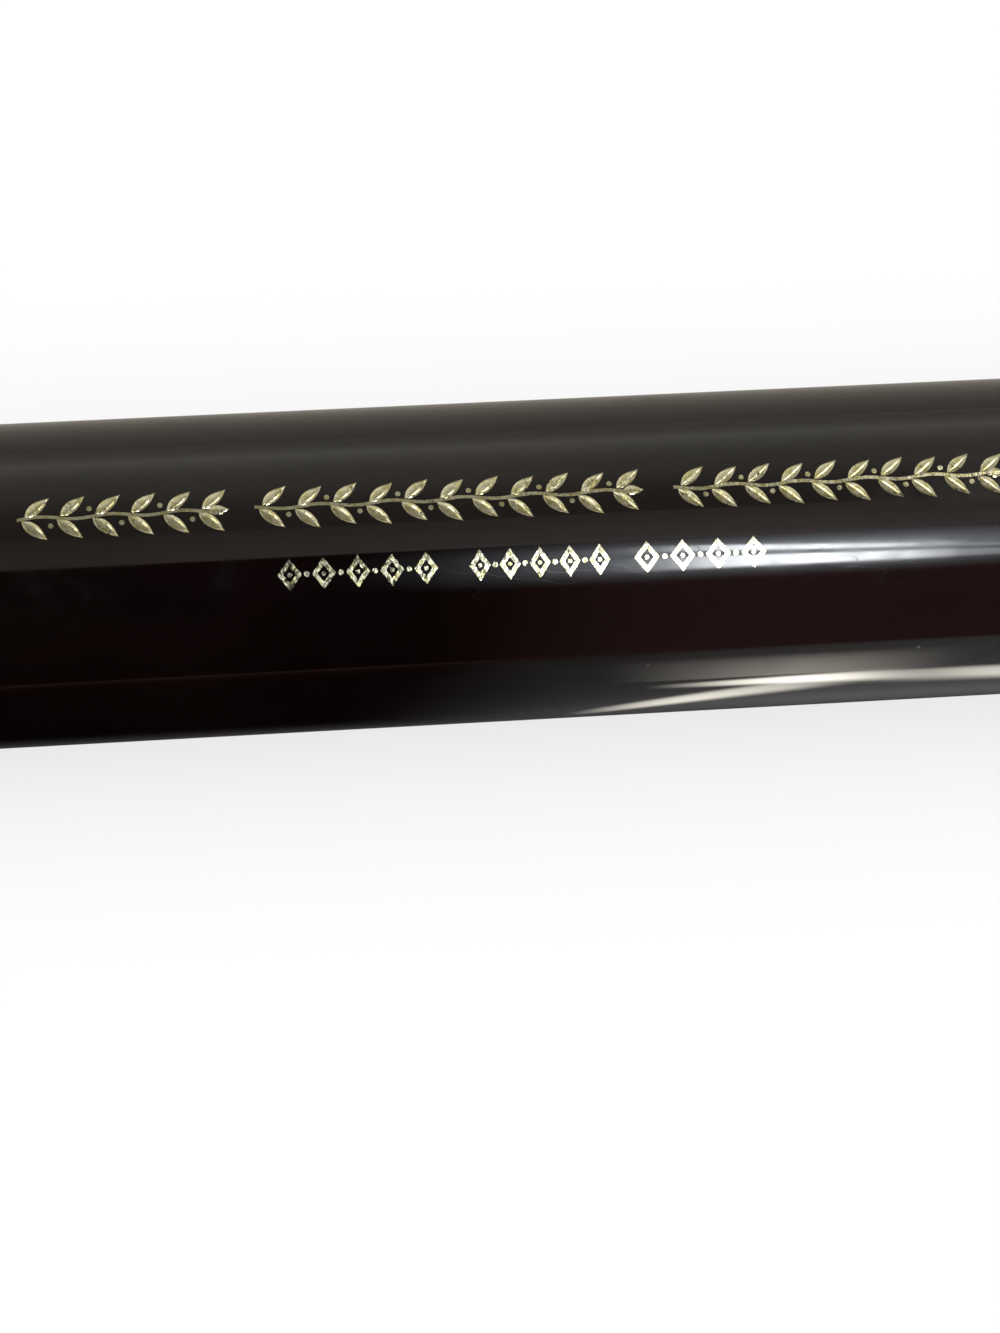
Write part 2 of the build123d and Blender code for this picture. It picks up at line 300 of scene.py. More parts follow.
def wrap(bm, station, turn, layout, radius):
    """Thickens flat foil and bends it round the barrel; X runs along the barrel and Y round it."""
    for step in range(-9, 10):
        cut = {"dist": 1e-5, "plane_co": (0, 0.15 * step, 0), "plane_no": (0, 1, 0)}
        bmesh.ops.bisect_plane(bm, geom=bm.verts[:] + bm.edges[:] + bm.faces[:], **cut)
    raised = bmesh.ops.extrude_face_region(bm, geom=bm.faces[:], use_keep_orig=True)["geom"]
    for vert in raised:
        if isinstance(vert, bmesh.types.BMVert):
            vert.co.z = 1.0
    for vert in bm.verts:
        lift = radius + (layout.proud if vert.co.z > 0.5 else -layout.sunk)
        at = turn + vert.co.y * MM / radius
        vert.co = (station + vert.co.x * MM, -cos(at) * lift, radius + sin(at) * lift)
    bmesh.ops.recalc_face_normals(bm, faces=bm.faces[:])


# ------------------------------------------------------------------ node trees
class Graph:
    """Adds nodes to a tree. An input that is a socket is linked, and anything else becomes its value."""

    def __init__(self, tree):
        self.tree = tree

    def feed(self, socket, value):
        if isinstance(value, bpy.types.NodeSocket):
            self.tree.links.new(value, socket)
        elif socket.type == "RGBA" and len(value) == 3:
            socket.default_value = (*value, 1.0)
        else:
            socket.default_value = value

    def add(self, kind, inputs=(), **settings):
        node = self.tree.nodes.new("ShaderNode" + kind)
        for name, value in settings.items():
            setattr(node, name, value)
        for name, value in dict(inputs).items():
            self.feed(node.inputs[name], value)
        return node

    def place(self):
        return self.add("TexCoord").outputs["Object"]

    def rim(self):
        """The rim attribute of the lathed pieces and the leaves."""
        return self.add("Attribute", attribute_name="rim", attribute_type="GEOMETRY").outputs["Fac"]

    def math(self, operation, a, b=0.0):
        return self.add("Math", {0: a, 1: b}, operation=operation).outputs[0]

    def times(self, a, b):
        return self.math("MULTIPLY", a, b)

    def plus(self, a, b):
        return self.math("ADD", a, b)

    def minus(self, a, b):
        return self.math("SUBTRACT", a, b)

    def fit(self, value, low, high, start=0.0, end=1.0):
        limits = {"Value": value, "From Min": low, "From Max": high, "To Min": start, "To Max": end}
        return self.add("MapRange", limits, interpolation_type="SMOOTHSTEP").outputs[0]

    def noise(self, place, scale, detail=2.0, distortion=0.0):
        inputs = {"Vector": place, "Scale": scale, "Detail": detail, "Distortion": distortion}
        return self.add("TexNoise", inputs).outputs[0]

    def stretch(self, place, *factors):
        return self.add("VectorMath", {0: place, 1: factors}, operation="MULTIPLY").outputs[0]

    def mix(self, factor, a, b):
        return self.add("Mix", {0: factor, 6: a, 7: b}, data_type="RGBA").outputs[2]

    def bump(self, height, depth):
        return self.add("Bump", {"Height": height, "Distance": depth}).outputs[0]

    def effect(self, group, **values):
        node = self.tree.nodes.new("ShaderNodeGroup")
        node.node_tree = group
        for name, value in values.items():
            self.feed(node.inputs[name], value)
        return node.outputs[0]


def new_effect(name, inputs, output):
    """Empty node group of one output: the group, its graph, its given inputs and its result."""
    group = bpy.data.node_groups.new(name, "ShaderNodeTree")
    for label, default in inputs.items():
        socket = group.interface.new_socket(name=label, in_out="INPUT", socket_type="NodeSocketFloat")
        socket.default_value = default
    group.interface.new_socket(name=output, in_out="OUTPUT", socket_type="NodeSocketFloat")
    given = group.nodes.new("NodeGroupInput").outputs
    result = group.nodes.new("NodeGroupOutput").inputs[0]
    return group, Graph(group), given, result


def handling_smudges():
    """Soft patches left by fingers, broken up inside."""
    group, graph, given, result = new_effect("Handling smudges", {"Size": 0.005, "Amount": 0.6}, "Smudge")
    place = graph.place()
    often = graph.math("DIVIDE", 1.0, given["Size"])
    patches = graph.fit(graph.noise(place, often, 3.0, 0.6), 0.48, 0.66)
    ridges = graph.fit(graph.noise(place, graph.times(often, 9.0), 2.0), 0.3, 0.7, 0.45, 1.0)
    graph.feed(result, graph.times(graph.times(patches, ridges), given["Amount"]))
    return group


def hairlines():
    """Fine rubbed lines that run mostly along the liner."""
    group, graph, given, result = new_effect("Hairlines", {"Spacing": 0.0006, "Amount": 1.0}, "Line")
    place = graph.place()
    often = graph.math("DIVIDE", 1.0, given["Spacing"])
    slant = graph.add("Mapping", {"Vector": place, "Rotation": (0.0, 0.25, 0.12)}).outputs[0]
    streaks = graph.noise(graph.stretch(slant, 0.05, 1.0, 1.0), often, 1.0)
    off_line = graph.math("ABSOLUTE", graph.minus(streaks, 0.5))
    line = graph.fit(off_line, 0.0, 0.008, 1.0, 0.0)
    patches = graph.fit(graph.noise(place, 260.0, 1.0), 0.52, 0.66)
    graph.feed(result, graph.times(graph.times(line, patches), given["Amount"]))
    return group


def rim_wear():
    """Rubbed rims: follows the rounded edges of the lathed pieces."""
    group, graph, given, result = new_effect("Rim wear", {"Amount": 0.5}, "Wear")
    rim = graph.rim()
    breaks = graph.noise(graph.place(), 2600.0, 3.0)
    worn = graph.times(graph.fit(rim, 0.35, 1.0), graph.fit(breaks, 0.56, 0.68))
    graph.feed(result, graph.times(worn, given["Amount"]))
    return group


def dust_specks():
    """Sparse bright specks of lint and dust."""
    group, graph, given, result = new_effect("Dust specks", {"Spacing": 0.0012, "Amount": 1.0}, "Speck")
    cells = graph.add(
        "TexVoronoi", {"Vector": graph.place(), "Scale": graph.math("DIVIDE", 1.0, given["Spacing"])}
    ).outputs
    chance = graph.add("SeparateColor", {0: cells["Color"]}).outputs
    size = graph.times(chance[1], 0.075)
    speck = graph.math("LESS_THAN", cells["Distance"], size)
    chosen = graph.math("GREATER_THAN", chance[0], 0.72)
    graph.feed(result, graph.times(graph.times(speck, chosen), given["Amount"]))
    return group


def orange_peel():
    """Slight unevenness of a sprayed and baked coat."""
    group, graph, given, result = new_effect("Orange peel", {"Size": 0.0009}, "Height")
    place = graph.place()
    often = graph.math("DIVIDE", 1.0, given["Size"])
    broad = graph.noise(graph.stretch(place, 0.35, 1.0, 1.0), graph.times(often, 0.3), 1.0)
    fine = graph.times(graph.noise(place, often, 1.0), 0.22)
    graph.feed(result, graph.plus(broad, fine))
    return group


def moulded_grain():
    """Fine spark-eroded grain of a mould."""
    group, graph, given, result = new_effect("Moulded grain", {"Size": 0.00012}, "Height")
    place = graph.place()
    often = graph.math("DIVIDE", 1.0, given["Size"])
    graph.feed(result, graph.noise(place, often, 3.0))
    return group


def lathe_marks():
    """Rings round the liner, as turning and drawing leave them."""
    group, graph, given, result = new_effect("Lathe marks", {"Pitch": 0.00006}, "Height")
    often = graph.math("DIVIDE", 1.0, given["Pitch"])
    graph.feed(result, graph.noise(graph.stretch(graph.place(), 1.0, 0.012, 0.012), often, 2.0))
    return group


EFFECTS = {}


def shared(build):
    """The node group of an effect, which is built once."""
    if build not in EFFECTS:
        EFFECTS[build] = build()
    return EFFECTS[build]


# ------------------------------------------------------------------ finishes
def darker(shade, share):
    """A colour with a share of its light."""
    return tuple(share * c for c in shade)


FINISHES = {}


def finish(build):
    """The material of a finish, which is built once."""
    if build not in FINISHES:
        material = bpy.data.materials.new(build.__name__)
        material.use_nodes = True
        shader = material.node_tree.nodes["Principled BSDF"]
        build(Graph(material.node_tree), shader.inputs, bpy.context.scene.liner_colours)
        FINISHES[build] = material
    return FINISHES[build]


def plum_lacquer(graph, surface, colours):
    """Glossy, very dark plum-brown lacquer over aluminium, with handling marks and rubbed rims."""
    place = graph.place()
    smudge = graph.effect(shared(handling_smudges), Size=0.006, Amount=0.7)
    line = graph.effect(shared(hairlines), Spacing=0.0007, Amount=0.8)
    speck = graph.effect(shared(dust_specks), Spacing=0.0016, Amount=0.12)
    wear = graph.effect(shared(rim_wear), Amount=0.6)
    thin = graph.fit(graph.noise(graph.stretch(place, 0.4, 1, 1), 420.0, 3.0), 0.35, 0.7)
    tone = graph.mix(thin, colours.lacquer, colours.lacquer_light)
    tone = graph.mix(graph.times(speck, 0.6), tone, colours.floor)
    graph.feed(surface["Base Color"], graph.mix(wear, tone, colours.aluminium))
    graph.feed(surface["Metallic"], wear)
    dull = graph.plus(graph.times(smudge, 0.12), graph.times(line, 0.16))
    dull = graph.plus(dull, graph.times(graph.math("MAXIMUM", speck, wear), 0.25))
    graph.feed(surface["Roughness"], graph.plus(dull, 0.06))
    graph.feed(surface["Coat Weight"], graph.minus(0.25, graph.times(smudge, 0.2)))
    surface["Coat Roughness"].default_value = 0.03
    graph.feed(surface["Normal"], graph.bump(graph.effect(shared(orange_peel), Size=0.0011), 0.000006))


def drawn_aluminium(graph, surface, colours):
    """Bare inside of the drawn shells."""
    marks = graph.effect(shared(lathe_marks), Pitch=0.00009)
    tone = graph.mix(graph.fit(marks, 0.3, 0.7), darker(colours.aluminium, 0.7), colours.aluminium)
    graph.feed(surface["Base Color"], tone)
    surface["Metallic"].default_value = 1.0
    graph.feed(surface["Roughness"], graph.fit(marks, 0.3, 0.7, 0.28, 0.42))
    graph.feed(surface["Normal"], graph.bump(marks, 0.000003))


def stamped_foil(graph, surface, colours):
    """Hot-stamped pale gold foil, worn to specks that show the lacquer."""
    place = graph.place()
    fine = graph.noise(place, 16000.0, 2.0)
    broad = graph.noise(place, 1500.0, 2.0)
    lost = graph.fit(graph.plus(fine, graph.times(broad, 0.45)), 0.86, 0.92)
    rubbed = graph.fit(graph.noise(place, 5200.0, 2.0), 0.42, 0.62)
    gold = graph.mix(rubbed, colours.foil, colours.foil_deep)
    graph.feed(surface["Base Color"], graph.mix(lost, gold, colours.lacquer_light))
    graph.feed(surface["Metallic"], graph.minus(1.0, lost))
    graph.feed(surface["Roughness"], graph.fit(graph.noise(place, 9000.0, 2.0), 0.3, 0.7, 0.1, 0.24))
    rim = graph.rim()
    pressed = graph.minus(graph.times(graph.noise(place, 7000.0, 2.0), 0.11), rim)
    graph.feed(surface["Normal"], graph.bump(pressed, 0.00004))


def anodised_gold(graph, surface, colours):
    """Pale gold anodised collar with turned rings, rubbed where the cap slides."""
    marks = graph.effect(shared(lathe_marks), Pitch=0.00005)
    rubbed = graph.effect(shared(hairlines), Spacing=0.0004, Amount=1.0)
    smudge = graph.effect(shared(handling_smudges), Size=0.004, Amount=0.5)
    gold = graph.mix(graph.fit(marks, 0.3, 0.7), darker(colours.collar, 0.86), colours.collar)
    graph.feed(surface["Base Color"], graph.mix(graph.times(rubbed, 0.6), gold, colours.aluminium))
    surface["Metallic"].default_value = 1.0
    turned = graph.fit(marks, 0.3, 0.7, 0.16, 0.26)
    graph.feed(surface["Roughness"], graph.plus(turned, graph.times(smudge, 0.14)))
    graph.feed(surface["Normal"], graph.bump(marks, 0.000002))


def black_moulding(graph, surface, colours):
    """Satin black moulding with a parting line, and kohl smeared round the mouth of the nozzle."""
    place = graph.place()
    sizes = bpy.context.scene.liner_sizes
    axes = graph.add("SeparateXYZ", {0: place}).outputs
    mouth = stations("nozzle")[1]
    near_mouth = graph.fit(axes[0], mouth - 0.0035, mouth + 0.0004)
    dabs = graph.fit(graph.noise(graph.stretch(place, 0.4, 1, 1), 1800.0, 4.0, 0.5), 0.44, 0.6)
    smear = graph.times(near_mouth, dabs)
    off_line = graph.math("ABSOLUTE", graph.minus(axes[2], sizes.body_radius))
    line = graph.fit(off_line, 0.00002, 0.00005, 1.0, 0.0)
    scuff = graph.effect(shared(hairlines), Spacing=0.0005, Amount=0.8)
    tone = graph.mix(graph.times(scuff, 0.25), colours.black, (0.05, 0.048, 0.047))
    graph.feed(surface["Base Color"], graph.mix(graph.times(smear, 0.8), tone, colours.kohl_light))
    gloss = graph.fit(graph.effect(shared(handling_smudges), Size=0.003, Amount=1.0), 0.0, 1.0, 0.36, 0.46)
    graph.feed(surface["Roughness"], graph.plus(gloss, graph.times(smear, 0.25)))
    grain = graph.effect(shared(moulded_grain), Size=0.00009)
    graph.feed(surface["Normal"], graph.bump(graph.plus(graph.times(grain, 0.3), line), 0.000007))


def shade_button(graph, surface, colours):
    """Glossy taupe moulding of the tail button, with its gate mark in the middle."""
    place = graph.place()
    sizes = bpy.context.scene.liner_sizes
    axes = graph.add("SeparateXYZ", {0: place}).outputs
    rise = graph.minus(axes[2], sizes.body_radius)
    out = graph.math("SQRT", graph.plus(graph.times(axes[1], axes[1]), graph.times(rise, rise)))
    broken = graph.fit(graph.noise(place, 5000.0, 3.0), 0.2, 0.8)
    gate = graph.times(graph.fit(out, 0.00028, 0.00036, 1.0, 0.0), broken)
    swirl = graph.fit(graph.noise(place, 500.0, 3.0, 1.5), 0.35, 0.65)
    graph.feed(surface["Base Color"], graph.mix(swirl, colours.shade, darker(colours.shade, 0.88)))
    scuff = graph.effect(shared(hairlines), Spacing=0.0005, Amount=1.0)
    smudge = graph.effect(shared(handling_smudges), Size=0.003, Amount=1.0)
    graph.feed(surface["Roughness"], graph.plus(graph.times(graph.plus(scuff, smudge), 0.14), 0.16))
    graph.feed(surface["Normal"], graph.bump(gate, 0.00002))


def waxy_kohl(graph, surface, colours):
    """Soft waxy stick with pigment specks and a rubbed skin."""
    place = graph.place()
    rubbed = graph.fit(graph.noise(graph.stretch(place, 0.25, 1, 1), 1500.0, 4.0), 0.4, 0.68)
    tone = graph.mix(rubbed, colours.kohl, colours.kohl_light)
    pigment = graph.fit(graph.noise(place, 12000.0, 2.0), 0.62, 0.7)
    graph.feed(surface["Base Color"], graph.mix(graph.times(pigment, 0.5), tone, (0.03, 0.024, 0.021)))
    graph.feed(surface["Roughness"], graph.fit(rubbed, 0.0, 1.0, 0.34, 0.55))
    marks = graph.effect(shared(lathe_marks), Pitch=0.0003)
    skin = graph.plus(graph.times(marks, 0.4), graph.noise(place, 2400.0, 4.0))
    graph.feed(surface["Normal"], graph.bump(skin, 0.00004))


def undyed_acetal(graph, surface, colours):
    """Undyed moulding of the mechanism, with flow lines."""
    acetal(graph, surface, colours.natural)


def grey_acetal(graph, surface, colours):
    """Greyed moulding of the spiral sleeve."""
    acetal(graph, surface, colours.spiral)


def acetal(graph, surface, base):
    """Slippery moulding with faint flow lines and a fine grain."""
    place = graph.place()
    flow = graph.fit(graph.noise(graph.stretch(place, 0.2, 1, 1), 700.0, 3.0, 1.0), 0.35, 0.65)
    graph.feed(surface["Base Color"], graph.mix(flow, base, darker(base, 0.9)))
    graph.feed(surface["Roughness"], graph.fit(flow, 0.0, 1.0, 0.3, 0.42))
    graph.feed(surface["Normal"], graph.bump(graph.effect(shared(moulded_grain), Size=0.00015), 0.000005))


def soft_rubber(graph, surface, colours):
    """Matt rubber with a little bloom and the marks of its cutting."""
    place = graph.place()
    bloom = graph.fit(graph.noise(place, 1200.0, 4.0), 0.45, 0.75)
    graph.feed(surface["Base Color"], graph.mix(bloom, colours.rubber, (0.045, 0.043, 0.043)))
    graph.feed(surface["Roughness"], graph.fit(bloom, 0.0, 1.0, 0.5, 0.7))
    graph.feed(surface["Normal"], graph.bump(graph.effect(shared(lathe_marks), Pitch=0.00004), 0.000004))


# ------------------------------------------------------------------ operators
class LINER_OT_outer_shells(Operator):
    """Lathe the lacquered shells of base, barrel and cap"""

    bl_idname = "liner.outer_shells"
    bl_label = "Outer Shells"

    def execute(self, context):
        s = context.scene.liner_sizes
        bore = s.body_radius - s.shell_wall
        tail, base_front = stations("base_shell")
        rear, front = stations("barrel_shell")
        cap_rear, cap_front = stations("cap_shell")
        base = lathe([
            (tail, s.button_hole),
            (tail, s.body_radius, s.end_rounding),
            (base_front, s.body_radius, s.edge_break),
            (base_front, s.lip_hole),
            (base_front - s.turned_in, s.lip_hole),
            (base_front - s.turned_in, bore),
            (tail + s.turned_in, bore),
            (tail + s.turned_in, s.button_hole),
        ])
        barrel = lathe([
            (rear, bore),
            (rear, s.body_radius, s.edge_break),
            (front, s.body_radius, s.edge_break),
            (front, s.lip_hole),
            (front - s.turned_in, s.lip_hole),
            (front - s.turned_in, bore),
        ])
        cap = lathe([
            (cap_rear, bore),
            (cap_rear, s.body_radius, s.edge_break),
            (cap_front, s.body_radius, s.end_rounding),
            (cap_front, 0),
            (cap_front - s.cap_end_wall, 0),
            (cap_front - s.cap_end_wall, bore, s.end_rounding - s.shell_wall),
        ])
        coats = [finish(plum_lacquer), finish(drawn_aluminium)]
        for name, shell, body, node in (
            ("base_lacquered_shell", base, "base", "base_shell"),
            ("barrel_lacquered_shell", barrel, "barrel", "barrel_shell"),
            ("cap_lacquered_shell", cap, "cap", "cap_shell"),
        ):
            inner_faces(shell, bore + 0.00001)
            if body == "cap":
                for face in shell.faces:
                    if face.calc_center_median().x > cap_front - 1e-6:
                        face.material_index = 0
            piece(name, shell, body, coats, [node])
        return {"FINISHED"}


class LINER_OT_foil_sprigs(Operator):
    """Stamp the laurel border in gold foil on the barrel"""

    bl_idname = "liner.foil_sprigs"
    bl_label = "Foil Laurel Border"

    def execute(self, context):
        layout = context.scene.liner_foil
        half = layout.border_height / MM / 2
        bm = bmesh.new()
        leaf = (half - STEM_WIDTH / 2) / sin(LEAF_LEAN)
        for start, size, pairs in LAUREL_SPRIGS:
            pitch = size / pairs
            flat_stem(bm, start, start + size - 0.55 * pitch, STEM_WIDTH, STEM_SWAY, 2 * pitch)
            for pair in range(pairs):
                foot = start + (pair + 0.12) * pitch
                sway = STEM_SWAY * sin(2 * pi * foot / (2 * pitch))
                for side in (1, -1):
                    stalk = shift(foot + UPPER_SHIFT * (side > 0), sway + STEM_WIDTH / 2 * side)
                    flat_leaf(bm, leaf, LEAF_WIDTH, stalk @ Matrix.Rotation(side * LEAF_LEAN, 4, "Z"))
                side = 1 if pair % 2 else -1
                if pair < pairs - 1:
                    along = foot + UPPER_SHIFT * (side > 0) + 0.82 * pitch
                    flat_dot(bm, BERRY, shift(along, 3 * BERRY * side))
            end_leaf = 0.62 * pitch
            flat_leaf(bm, end_leaf, 0.3, shift(start + size - end_leaf))
        wrap(bm, layout.station, layout.border_turn, layout, context.scene.liner_sizes.body_radius)
        piece("foil_laurel_border", bm, "barrel", [finish(stamped_foil)])
        return {"FINISHED"}


class LINER_OT_foil_row(Operator):
    """Stamp the row of lozenges and dots in gold foil on the barrel"""

    bl_idname = "liner.foil_row"
    bl_label = "Foil Lozenge Row"

    def execute(self, context):
        layout = context.scene.liner_foil
        height = layout.row_height / MM
        bm = bmesh.new()
        for start, size, count in LOZENGE_GROUPS:
            pitch = size / count
            for n in range(count):
                middle = start + (n + 0.5) * pitch
                flat_lozenge(bm, 0.7 * pitch, height, STROKE, shift(middle))
                flat_dot(bm, EYE, shift(middle))
                if n:
                    flat_dot(bm, BERRY, shift(middle - pitch / 2))
        wrap(bm, layout.station, layout.row_turn, layout, context.scene.liner_sizes.body_radius)
        piece("foil_lozenge_row", bm, "barrel", [finish(stamped_foil)])
        return {"FINISHED"}


class LINER_OT_neck(Operator):
    """Lathe the gold collar and the sealing ring on the neck"""

    bl_idname = "liner.neck"
    bl_label = "Neck Collar and Ring"

    def execute(self, context):
        s = context.scene.liner_sizes
        rear, front = stations("neck_collar")
        collar = lathe([
            (rear, s.collar_bore),
            (rear, s.collar_radius),
            (front, s.collar_radius, s.edge_break),
            (front, s.collar_bore),
        ])
        gold = [finish(anodised_gold)]
        piece("gold_neck_collar", collar, "barrel", gold, ["neck_collar"])
        rear, front = stations("neck_seal_ring")
        thickness = front - rear
        outer = s.collar_radius + SEAT
        inner = outer - thickness
        rounding = thickness * 0.3
        ring = lathe([(rear, inner), (rear, outer, rounding), (front, outer, rounding), (front, inner)])
        piece("neck_rubber_ring", ring, "barrel", [finish(soft_rubber)], ["neck_seal_ring"])
        return {"FINISHED"}


class LINER_OT_nozzle(Operator):
    """Lathe the bellied nose with its flange and spigot"""

    bl_idname = "liner.nozzle"
    bl_label = "Nozzle"

    def execute(self, context):
        s = context.scene.liner_sizes
        rear, mouth = stations("nozzle")
        neck = stations("neck_collar")[1]
        flange_rear = stations("neck_seal_ring")[1] + 0.000035
        shoulder = flange_rear + s.flange
        land = mouth - 0.008
        seat = s.fork_bore + 0.0005
        spigot = s.flange_radius - 0.00075
        side = []
        for n in range(9):
            t = n / 8
            radius = s.nose_base + (s.nose_tip - s.nose_base) * t + 4 * s.nose_belly * t * (1 - t)
            side.append((shoulder + (mouth - shoulder) * t, radius))
        side[-1] = (*side[-1], s.nose_rim)
        bm = lathe(side + [
            (mouth, s.mouth_bore, 0.00008),
            (land, s.mouth_bore),
            (land - 0.0005, s.fork_bore),
            (neck, s.fork_bore),
            (neck, seat),
            (rear, seat),
            (rear, spigot),
            (flange_rear, spigot),
            (flange_rear, s.flange_radius, 0.00006),
            (shoulder, s.flange_radius, 0.00012),
        ])
        piece("black_nozzle", bm, "barrel", [finish(black_moulding)], ["nozzle"])
        return {"FINISHED"}


class LINER_OT_kohl_stick(Operator):
    """Lathe the kohl stick with its blunt point"""

    bl_idname = "liner.kohl_stick"
    bl_label = "Kohl Stick"

    def execute(self, context):
        s = context.scene.liner_sizes
        rear, tip = stations("kohl_lead")
        rings, point_rings = 40, 24
        corners = [(rear, 0), (rear, s.lead_radius)]
        for n in range(rings):
            corners.append((rear + (tip - s.lead_point - rear) * (n + 1) / rings, s.lead_radius))
        for n in range(1, point_rings):
            t = sin(pi / 2 * n / point_rings)
            corners.append((tip - s.lead_point * (1 - t), s.lead_radius * (1 - t**1.75) ** 0.75))
        corners.append((tip, 0))
        piece("kohl_stick", lathe(corners), "stick", [finish(waxy_kohl)], ["kohl_lead"])
        return {"FINISHED"}


class LINER_OT_tail_button(Operator):
    """Lathe the shade-coloured button in the tail"""

    bl_idname = "liner.tail_button"
    bl_label = "Tail Button"

    def execute(self, context):
        s = context.scene.liner_sizes
        face, stem = stations("end_plug")
        tail = stations("base_shell")[0]
        core = s.body_radius - s.shell_wall - SEAT
        button = s.button_hole - SEAT
        back = tail + 0.0014
        plug, hollow = 0.00208, 0.0014
        bm = lathe([
            (face, 0),
            (face, button, 0.0002),
            (tail + s.turned_in, button),
            (tail + s.turned_in, core),
            (back, core),
            (back, plug),
            (stem, plug, 0.0003),
            (stem, hollow),
            (back, hollow),
            (back, 0),
        ])
        piece("tail_shade_button", bm, "base", [finish(shade_button)], ["end_plug"])
        return {"FINISHED"}


class LINER_OT_mechanism(Operator):
    """Give the carried-over CAD pieces their finishes"""

    bl_idname = "liner.mechanism"
    bl_label = "Mechanism Finishes"

    def execute(self, context):
        for node, build in (
            ("inner_barrel", undyed_acetal),
            ("base_core", undyed_acetal),
            ("guide_fork", undyed_acetal),
            ("lead_carrier", undyed_acetal),
            ("spiral_sleeve", grey_acetal),
            ("brake_ring", soft_rubber),
            ("cap_liner", black_moulding),
        ):
            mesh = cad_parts[node].data
            mesh.materials.clear()
            mesh.materials.append(finish(build))
        return {"FINISHED"}


def card_material(name, tint, strength, fades):
    """Emission that fades to clear.

    A fade is (0 along or 1 across, clear at, full at), and may end with the share that is left at clear.
    """
    material = bpy.data.materials.new(name)
    material.use_nodes = True
    material.node_tree.nodes.clear()
    graph = Graph(material.node_tree)
    axes = graph.add("SeparateXYZ", {0: graph.add("TexCoord").outputs["UV"]}).outputs
    shown = 1.0
    for axis, clear, full, *least in fades:
        left, right = (*least, 0.0)[0], 1.0
        if clear > full:
            clear, full, left, right = full, clear, right, left
        shown = graph.times(shown, graph.fit(axes[axis], clear, full, left, right))
    glow = graph.add("Emission", {"Color": tint, "Strength": strength}).outputs[0]
    clear = graph.add("BsdfTransparent").outputs[0]
    mixed = graph.add("MixShader", {0: shown, 1: clear, 2: glow}).outputs[0]
    graph.feed(graph.add("OutputMaterial").inputs[0], mixed)
    return material


def stage_mesh(name, bm, material):
    """Makes a stage object of a bmesh."""
    mesh = bpy.data.meshes.new(name)
    bm.to_mesh(mesh)
    bm.free()
    made = bpy.data.objects.new(name, mesh)
    bpy.context.scene.collection.objects.link(made)
    mesh.materials.append(material)
    return made


def card(name, tint, strength, place, left, right, fades=()):
    """Studio card that shows in reflections and nowhere else.

    An end is (x, from, to); place turns x and a height between from and to into a point.
    """
    bm = bmesh.new()
    bm.loops.layers.uv.new("UVMap")
    bmesh.ops.create_grid(bm, x_segments=12, y_segments=24, size=0.5, calc_uvs=True)
    for vert in bm.verts:
        x, low, high = Vector(left).lerp(Vector(right), vert.co.x + 0.5)
        vert.co = place(x, low + (high - low) * (vert.co.y + 0.5))
    made = stage_mesh(name, bm, card_material(name, tint, strength, fades))
    for kind in ("camera", "diffuse", "transmission", "volume_scatter", "shadow"):
        setattr(made, "visible_" + kind, False)


def arched(reach):
    """Places cards at a distance round the liner's axis, by their elevation in degrees from the front."""
    axis = bpy.context.scene.liner_sizes.body_radius

    def place(x, elevation):
        turn = radians(elevation)
        return x, -cos(turn) * reach, axis + sin(turn) * reach

    return place


def on_floor(height):
    """Places level cards at a height above the floor."""
    return lambda x, y: (x, y, height)


def beside(height):
    """As on_floor, for cards whose ends face the liner: they go by y, and from x to x."""
    return lambda y, x: (x, y, height)


